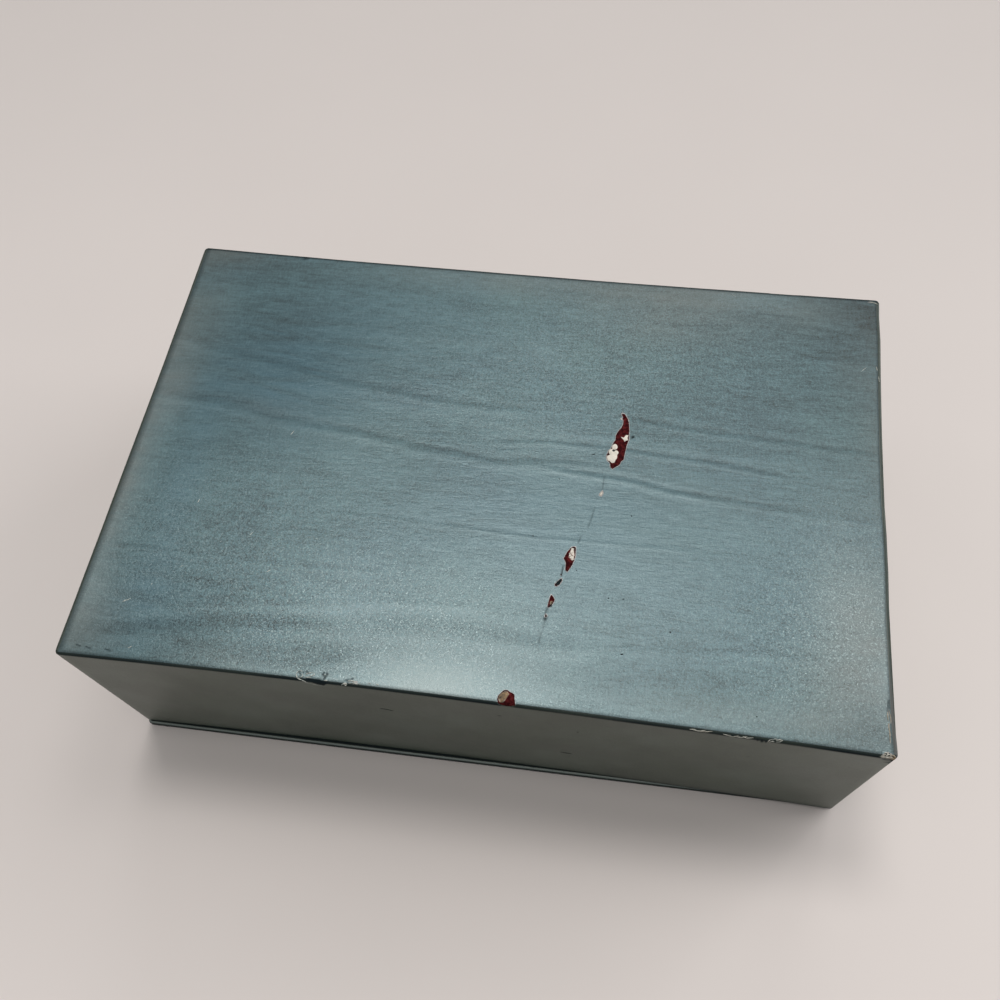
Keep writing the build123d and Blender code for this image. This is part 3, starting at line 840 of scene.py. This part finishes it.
# Creases: each one's half width in mm, its strength, and a run of x and y along it in mm
creases = (
    (1.9, 0.6, -150, 51, -134, 46, -108, 41.4, -90, 38.6, -66, 33, -52, 32, -36, 29.4, -16, 27.8,
     10, 27.2),
    (1.4, 0.5, 50, 27.2, 74, 24.6, 104, 23, 124, 21.6, 148, 20.4),
    (2, 0.68, -150, 20.5, -126, 19, -110, 16, -96, 13, -76, 10.8, -60, 10, -44, 7.4, -32, 5.2, -16,
     4, 0, 1.8, 16, 3.6, 34, 4.6),
    (1.3, 0.9, 22, 0.6, 44, -0.8, 56, -1.8, 68, -4.6, 84, -6),
    (1.4, 0.45, 84, -6, 110, -8, 126, -9.4, 146, -10.6),
    (1.2, 0.55, 0, 11, 20, 13.2, 44, 12.6, 64, 11, 80, 10.2, 96, 8.6, 112, 6.6),
    (0.8, 0.4, -66, -28.6, -40, -28, -16, -29, 18, -30.4, 44, -29.6, 82, -30),
    (1, 0.4, -148, -51.4, -110, -51.8, -90, -52.8, -66, -52.6, -36, -51),
    (2.9, 0.75, -140, -87, -116, -82, -96, -78.6, -76, -77, -60, -75.4, -36, -73.4, -16, -72, 4,
     -71.4, 24, -72.6, 44, -71.2),
    (1.6, 0.4, 44, -71.2, 74, -69.4, 104, -67.2, 126, -68.4),
    (1.4, 0.5, -76, -70, -56, -67, -36, -63.2, -16, -62.2, 0, -61),
    (1.2, 0.5, 138, -56, 142, -61, 147, -68),
    (1.6, 0.4, -60, -93, -50, -88.6, -40, -85))

# Painted glows and shade, with uneven tone: x, y and half widths along and across, all in mm, and
# strength
glow_shade_and_tone_spots = (
    (-104, 40, 34, 36, -0.46), (-112, -80, 26, 22, -0.3), (-8, -92, 30, 12, 1.2),
    (-12, -94, 26, 8, 1.2), (-30, 93, 60, 9, 0.08), (52, 20, 12, 9, -0.2), (-50, -55, 26, 12, 0.16),
    (-146, 25, 8, 36, 0.14), (-132, -93, 14, 8, -0.14), (52, -85, 14, 8, -0.25),
    (-100, -38, 16, 10, -0.2), (-50, -72, 14, 7, 0.3), (-25, 0, 22, 26, -0.12),
    (-147, -72, 8, 12, 0.3), (-40, -97.5, 44, 3, 1), (-15, -70, 40, 20, 0.45),
    (-153, -40, 8, 55, 0.4), (152, 90, 24, 20, -0.32), (104, 94, 20, 7, 0.12),
    (135, 50, 40, 50, -0.2), (75, 60, 50, 40, -0.15), (140, -50, 18, 26, 0.35),
    (80, -82, 26, 12, -0.15), (151, -74, 5, 16, 0.4), (-50, -86, 16, 5, -0.3),
    (-130, 94, 50, 12, -0.2), (149, 86, 6, 8, -0.28), (-100, -85, 10, 6, -0.22),
    (-140, 0, 5, 60, 0.1), (138, -94, 16, 5, -0.14), (14, 55, 16, 10, 0.13),
    (25, -85, 14, 6, -0.14), (100, 92, 14, 6, 0.12), (147, -72, 5, 8, 0.12), (75, 40, 14, 8, -0.09))
browned = (
    (-153, -10, 9, 95, 0.9), (96, 92, 60, 14, 0.55), (40, 95, 40, 10, 0.2), (146, -60, 24, 50, 0.8),
    (152, 40, 8, 60, 0.3), (-140, 97, 22, 8, 0.5), (-18, -86, 46, 16, 0.35), (-20, 94, 60, 8, 0.3),
    (-140, 55, 12, 32, 0.35), (-141, -84, 12, 18, 0.4), (64, 74, 36, 12, 0.25),
    (-140, 22, 7, 14, 0.35), (-100, 18, 16, 8, 0.28), (-84, -93, 24, 6, 0.25),
    (96, -92, 44, 6, 0.2), (141, 60, 9, 16, 0.2))
blued = (
    (-95, 32, 32, 30, 0.8), (-60, 62, 50, 26, 0.3), (-122, -75, 20, 18, 0.4),
    (-125, -18, 9, 60, 0.45), (110, -40, 40, 30, 0.2), (20, -22, 60, 24, 0.4),
    (38, -48, 22, 34, 0.2))
# More flakes, laid where the lamps' glows fall on the top, a painted sparkle: x, y, half widths in mm,
# strength
flake_and_glint_places = (
    (-20, -80, 60, 36, 1), (138, -45, 34, 45, 0.7), (55, 60, 80, 42, 0.5), (-95, -55, 55, 45, 0.6),
    (0, 20, 60, 30, 0.3), (112, -70, 50, 40, 0.4))

# Painted highlights: pale bands, laid as the creases are
painted_highlight_bands = (
    (2.2, 0.75, -140, -84, -116, -77.4, -80, -72, -46, -67.6, -16, -64.6, 4, -64),
    (2.6, 0.5, -130, 33, -96, 28, -66, 24, -36, 20, 4, 16, 44, 15, 64, 15, 84, 12, 124, 9),
    (2.2, 0.35, -100, 61, -66, 57, -36, 57, -6, 58))


def folds(x, y, lines):
    """How strongly points are on some folds, and on the ridges beside them: the bell curve of
    the distance across a line, faded at its ends, times its strength. A line's y is taken over
    its x."""
    on, beside = np.zeros(x.shape), np.zeros(x.shape)
    for half_width, strength, *line in lines:
        xs, ys = line[::2], line[1::2]
        across = y - np.interp(x, xs, ys)
        ends = ramp(x - xs[0] + fold_end / 2, fold_end) * ramp(xs[-1] + fold_end / 2 - x, fold_end)
        on += strength * bell(across, half_width) * ends
        beside += strength * bell(across + ridge_offset * half_width, half_width) * ends
    return on, beside


top_paint = make_paint("top_paint", (0.016, 0.055, 0.072, 1), (0.021, 0.062, 0.067, 1), 0.36, 1.8,
                       gloss_tint=(0.92, 1.0, 0.99, 1), torn=0.55)
half_x, half_y = box_length / 2, box_depth / 2
fine_x = ((-150, -132), (-62, -31), (12, 57), (147, 152))
fine_y = ((-98, -91), (-64, -31), (-13, 31))
step_x, fine_step_x, step_y, fine_step_y = 2.6 * mm, 0.48 * mm, 1.15 * mm, 0.42 * mm
along = graded(-half_x, half_x, step_x, fine_step_x, fine_x) / half_x
up = graded(-half_y, half_y, step_y, fine_step_y, fine_y) / half_y


def sheet_points(along, up, inset, height):
    """Points of the top sheet's plan: the place from -1 to 1 each way, between edges that stand
    back from the lid's by their margins, each bowed in by 1 less the square of the place."""
    left, right = inset + left_margin - half_x, half_x - right_margin - inset
    front, back = inset + front_margin - half_y, half_y - back_margin - inset
    x = left + (right - left) * (along + 1) / 2
    y = front + (back - front) * (up + 1) / 2
    x = x + (1 - up ** 2) * (left_bow * (1 - along) - right_bow * (1 + along)) / 2
    x = x - mm * np.interp(up, right_sway_up, right_sway_in) * ((1 + along) / 2) ** 8
    y = y + (1 - along ** 2) * (front_bow * (1 - up) - back_bow * (1 + up)) / 2
    c, s = math.cos(lid_turn), math.sin(lid_turn)
    return np.stack((x * c - y * s, x * s + y * c, np.broadcast_to(height, x.shape)), axis=-1)


def faces_between(first, second):
    """Quads from one closed loop of points to another."""
    return np.stack((first, second, np.roll(second, -1), np.roll(first, -1)), axis=-1).tolist()


grid_along, grid_up = np.meshgrid(along, up, indexing="ij")
surface = sheet_points(grid_along, grid_up, 0.0, box_height)
x, y = surface[..., 0] / mm, surface[..., 1] / mm
paint, paper, core, dark = damage(surface)
crease, ridge = folds(x, y, creases)
pale = folds(x, y, painted_highlight_bands)[0]
edge_gap = np.minimum(1 - np.abs(grid_along), (1 - np.abs(grid_up)) * half_y / half_x) * half_x / mm
dip = ramp(-paint, chip_slope) * chip_depth - ramp(-paper, fibre_slope) * (fibre_rise + chip_depth)
surface[..., 2] += (sag_depth * soft_waves(x, y, seed=3, longest=150) * ramp(edge_gap, sag_inset)
                    - crease_depth * crease + 0.6 * crease_depth * ridge - dip
                    - edge_drop * ramp(edge_width - edge_gap, edge_width) ** 2)
# Painted shade in the creases, and painted highlights on the ridges beside them and on the pale bands
tone = -0.29 * crease + 0.22 * ridge + 0.28 * pale + spots(x, y, glow_shade_and_tone_spots)
back_gap = (1 - grid_up) * half_y / mm
# Painted shade: the sheet is darkened along its cut edges, where it steps down, and more along its back
painted_edge_shade = 0.6 * bell(edge_gap, 0.4) + 0.35 * bell(back_gap, 1.0)
dark = np.maximum(dark, painted_edge_shade * ramp(paint, painted_shade_fade))

# The grid doesn't run round, so its last row of quads is left off. The loops below its border
# go down the sheet's edge and in under its margin
nx, ny = len(along), len(up)
faces = wrap_faces(nx, ny, closed=False)[:(nx - 1) * (ny - 1)]
loop = np.concatenate((np.arange(nx - 1) * ny, (nx - 1) * ny + np.arange(ny - 1),
                       np.arange(nx - 1, 0, -1) * ny + ny - 1, np.arange(ny - 1, 0, -1)))
loop_along, loop_up = grid_along.ravel()[loop], grid_up.ravel()[loop]
skirts = [sheet_points(loop_along, loop_up, inset, height) for inset, height in (
    (-skirt_out, band_z + skirt_drop), (-skirt_out, band_z), (skirt_in, band_z),
    (skirt_in, lid_board_top))]
rows = [loop] + [nx * ny + n * len(loop) + np.arange(len(loop)) for n in range(len(skirts))]
for upper, lower in zip(rows[:-1], rows[1:]):
    faces += faces_between(upper, lower)
faces.append(rows[-1][::-1].tolist())
points = np.concatenate([surface.reshape(-1, 3)] + skirts)


def with_skirts(numbers):
    """A stored value of the grid's points, then the edge's own again for each loop below it."""
    return np.concatenate((numbers.ravel(), np.tile(numbers.ravel()[loop], len(skirts))))


top_values = {"paint": paint, "paper": paper, "core": core, "tone": tone, "dark": dark,
              "warm": spots(x, y, browned), "cool": spots(x, y, blued),
              "flakes": spots(x, y, flake_and_glint_places)}
finish_piece("lid_top_paper", points, faces, top_paint, "lid", ["lid_top_sheet"],
             {key: with_skirts(numbers) for key, numbers in top_values.items()})

# Torn fibres: where the cover is torn along the lid's edge, its paper stands up in thin pale
# shreds and curls. A few short ones lie on the top, where it has been scratched.
shred_thickness = 0.14 * mm
shred_samples, shred_sides = 18, 8

# Each fibre's width and rise in mm, how tan it is, and a run of x and y along it in the
# photograph's pixels. Pale scratches and black specks lie flat, so they have no rise and no tan
fibres = (
    (0.32, 0.35, 0, 296.3, 673.8, 298.1, 671.3, 300.6, 670.3, 302.5, 671.6),
    (0.42, 0.25, 0, 296.3, 673.8, 296.9, 676.9, 298.8, 678.8, 301.6, 680),
    (0.34, 0.15, 0.1, 298.6, 678.2, 302.6, 680.4, 307.5, 682.5, 312.5, 683.8),
    (0.22, 0.1, 0.2, 310, 683.4, 316.9, 684.7, 322.5, 685.9, 327, 686.4),
    (0.26, 0.25, 0, 299, 676.6, 301.4, 677.2, 303.2, 675.4, 302.2, 673.6),
    (0.26, 0.3, 0, 305, 675, 307.5, 673.4, 311.3, 672.5, 314, 672.8),
    (0.28, 0.25, 0, 314, 672.8, 314.6, 675, 311.3, 675.6, 308.8, 676.8),
    (0.3, 0.1, 0, 304.4, 677, 307.4, 677.2, 311, 677.4), (0.32, 0.1, 0, 324, 680.4, 327.6, 680.2),
    (0.3, 0.1, 0, 324, 674.6, 325.8, 674.9),
    (0.4, 0.25, 0, 341.2, 685.2, 343.1, 684, 345.6, 683.1, 347.2, 684.4),
    (0.3, 0.1, 0, 344.6, 685.6, 346.8, 684.8),
    (0.34, 0.12, 0, 347.5, 681.2, 350.4, 680.4, 353.6, 681.2, 356, 682.6),
    (0.3, 0.12, 0, 348.5, 683.2, 353, 682.8, 357, 683.6),
    (0.3, 0.12, 0, 355, 684, 358, 683.6, 361, 684.6), (0.28, 0.1, 0, 368, 683, 371, 683.4),
    (0.28, 0.1, 0, 375.6, 684.2, 379, 684.8),
    (0.3, 0.2, 0.3, 689.5, 729.3, 693, 729.2, 697.4, 730.4),
    (0.32, 0.15, 0.4, 693, 730.4, 700.4, 731, 706, 730.2),
    (0.24, 0.1, 0.5, 700, 731.6, 706, 731.8, 713, 731.2),
    (0.26, 0.15, 0.4, 722.9, 733.9, 727.4, 735.2, 731.4, 735.4),
    (0.34, 0.2, 0.4, 727.7, 735.9, 733, 736.6, 739, 735.8),
    (0.3, 0.2, 0.3, 736.1, 736.7, 741, 737.4, 747.4, 736.6),
    (0.3, 0.2, 0.3, 742.6, 736.2, 746.5, 738, 753.7, 737.8),
    (0.3, 0.3, 0.1, 767.1, 742.5, 769.4, 740, 772.6, 739.3),
    (0.28, 0.3, 0.1, 771.8, 740.4, 774.7, 738.8, 778, 739.6),
    (0.3, 0.2, 0.2, 775.6, 740.6, 779.6, 739.6, 783.4, 740.6),
    (0.24, 0.2, 0.2, 782.6, 740.6, 779.4, 742, 775.4, 742),
    (0.28, 0.15, 0.2, 768.6, 742.2, 771.6, 741.4, 774.6, 741.8),
    (0.42, 0.2, 0.45, 880.4, 756.8, 883.4, 754.9, 886.4, 754.6),
    (0.36, 0.25, 0.3, 883.6, 753.8, 885.4, 752.6, 888.2, 752.8),
    (0.42, 0.2, 0.4, 885.6, 756.2, 888, 754.6, 891.3, 754.2),
    (0.46, 0.2, 0.4, 882.4, 758, 886, 757.2, 889.4, 757.8),
    (0.44, 0.2, 0.7, 888.4, 756.8, 891.2, 757.2, 893.6, 759.2),
    (0.42, 0.1, 0.9, 890.4, 755, 893.6, 755.4, 896, 757.6),
    (0.34, 0.1, 0.8, 887.2, 711.5, 887.6, 716.9, 888.4, 721),
    (0.26, 0.1, 0.9, 888.6, 709.5, 890.4, 716.9, 890.9, 723.9),
    (0.34, 0.1, 0.8, 888.2, 722.9, 888.9, 728.5, 890.6, 735.5),
    (0.26, 0.1, 0.9, 889, 728.5, 889.8, 736, 890.2, 744),
    (0.36, 0.1, 0.3, 868.2, 301.8, 873, 302.6, 878, 304.4),
    (0.28, 0.1, 0.2, 876.2, 366.5, 877.2, 371), (0.28, 0.1, 0.2, 878.4, 376.5, 879.2, 382))
scratches = (
    (0.34, 122, 602, 127, 599.4), (0.3, 126.4, 600.6, 131, 598), (0.24, 128, 648, 132, 646),
    (0.36, 250, 535, 252.6, 532.2), (0.28, 266.6, 572, 271, 569.6), (0.15, 179.6, 567, 184, 565),
    (0.14, 151, 585, 152.6, 582.6), (0.28, 290.6, 435, 294.4, 430.6),
    (0.26, 197.4, 503, 200, 498.6), (0.14, 860.6, 372, 867, 367), (0.14, 732, 294, 736, 297.4),
    (0.14, 508, 362, 513, 360))
specks = (
    (0.5, 558.4, 478.6, 560, 479.4), (0.6, 630.8, 515.6, 632.2, 516.6),
    (0.6, 532.2, 535.4, 533.6, 536.6), (0.5, 575.8, 570.2, 577.2, 570.8),
    (0.5, 607.6, 598.4, 609.2, 598.4), (0.45, 622.4, 598.8, 624, 599.4),
    (0.7, 669.4, 631.6, 670.8, 633), (0.6, 620.2, 654.6, 623.4, 654.2),
    (0.4, 641, 487, 642.2, 487.6), (0.5, 591.6, 454.6, 595.4, 454), (0.5, 756, 716.2, 757.6, 717.2),
    (0.4, 512.4, 343.6, 513.6, 344.4), (0.7, 631.8, 437.6, 634.6, 437),
    (0.2, 380, 708.4, 387, 709.4, 394, 711), (0.3, 497, 715.4, 502, 715.8),
    (0.4, 576.5, 731.6, 579, 732), (0.2, 744, 756.2, 753, 757), (0.16, 560, 752, 572, 754),
    (0.14, 250, 690, 262, 692.4), (0.12, 330, 726, 352, 729.6))


def on_lid(pixels):
    """Where the rays of some pixels of the photograph meet the lid. A ray's direction is right
    times the pixel's offset, plus down times its drop, plus ahead, with the lid's small turn
    taken out. It is followed to the top's level, and where that lies in front of the bowed front
    wall, to the wall instead. The turn is then put back."""
    offsets = (np.asarray(pixels) - middle_pixel) / focal_pixels
    rays = np.column_stack((offsets, np.ones(len(offsets)))) @ camera_axes
    c, s = math.cos(lid_turn), math.sin(lid_turn)
    turn_back = np.array(((c, s, 0), (-s, c, 0), (0, 0, 1)))
    eye, rays = turn_back @ np.array(camera_place), rays @ turn_back.T
    spots_hit = eye + rays * ((box_height - eye[2]) / rays[:, 2:])
    wall = front_bow * (1 - (spots_hit[:, 0] / half_x) ** 2) - half_y
    down_wall = eye + rays * ((wall - eye[1]) / rays[:, 1])[:, None]
    return np.where((spots_hit[:, 1] < wall)[:, None], down_wall, spots_hit) @ turn_back


def shred(pixels, width, lift):
    """A shred's points. Its line runs evenly through the pixels' places on the lid and
    rises in the middle by half a sine wave. Round each place goes a flat oval, as wide as the
    shred and thinning to a point at both ends, by the square root of a half sine."""
    corners_hit = on_lid(pixels)
    steps = np.concatenate(([0.0], np.cumsum(np.linalg.norm(np.diff(corners_hit, axis=0), axis=1))))
    share = np.linspace(0, 1, shred_samples)
    line = np.stack([np.interp(share * steps[-1], steps, corners_hit[:, k]) for k in range(3)], axis=1)
    line[1:-1] = (line[:-2] + 2 * line[1:-1] + line[2:]) / 4
    outward = np.array((0.0, -0.35, 0.94))
    line = line + outward * (0.3 * shred_thickness + lift * np.sin(math.pi * share))[:, None]
    tangent = np.gradient(line, axis=0)
    side = np.cross(tangent, outward)
    side /= np.linalg.norm(side, axis=1)[:, None]
    over = np.cross(side, tangent)
    over /= np.linalg.norm(over, axis=1)[:, None]
    taper = np.sqrt(np.sin(math.pi * np.clip(share, 0.004, 0.996)))[:, None, None]
    turn = np.linspace(0, 2 * math.pi, shred_sides, endpoint=False)[None, :, None]
    oval = side[:, None] * width * np.cos(turn) + over[:, None] * shred_thickness * np.sin(turn)
    return (line[:, None] + oval / 2 * taper).reshape(-1, 3)


shred_dark, shred_pale = (0.17, 0.20, 0.19, 1), (0.54, 0.54, 0.49, 1)
shred_tan = (0.24, 0.18, 0.115, 1)
torn_paper = Finish("torn_paper", Roughness=0.9, Specular_IOR_Level=0.2)
lint = torn_paper.noise((900, 2400, 1800), 3.0, 0.6)
shred_colour = torn_paper.blend(torn_paper.rise(lint, 0.3, 0.7), shred_dark, shred_pale)
tan = torn_paper.attribute("tan")
shred_colour = torn_paper.blend(tan * 0.8, shred_colour, shred_tan)
torn_paper.use(Base_Color=torn_paper.blend(tan - 1.0, shred_colour, black_marks_and_painted_shade),
               Normal=torn_paper.relief(lint, 0.05 * mm))
points, faces, tans = [], [], []
flat_rise, black = 0.01, 2.0
shreds = fibres + tuple((width, flat_rise, tan, *pixels) for table, tan in (
    (scratches, 0.0), (specks, black)) for width, *pixels in table)
for width, lift, tan, *pixels in shreds:
    first = len(points) * shred_samples * shred_sides
    points.append(shred(np.reshape(pixels, (-1, 2)), width * mm, lift * mm))
    tans.append(np.full(shred_samples * shred_sides, tan))
    ring = first + np.arange(shred_sides)
    last = ring + (shred_samples - 1) * shred_sides
    for n in range(shred_samples - 1):
        faces += faces_between(ring + n * shred_sides, ring + (n + 1) * shred_sides)
    faces += [ring.tolist(), last[::-1].tolist()]
finish_piece("lid_torn_fibres", np.concatenate(points), faces, torn_paper, "lid", None,
             {"tan": np.concatenate(tans)}, sharp=60)

# Lid linings: the same cream paper under the top board and round the walls, above the turn-in
dress(["lid_top_lining", "lid_wall_lining"], lining)
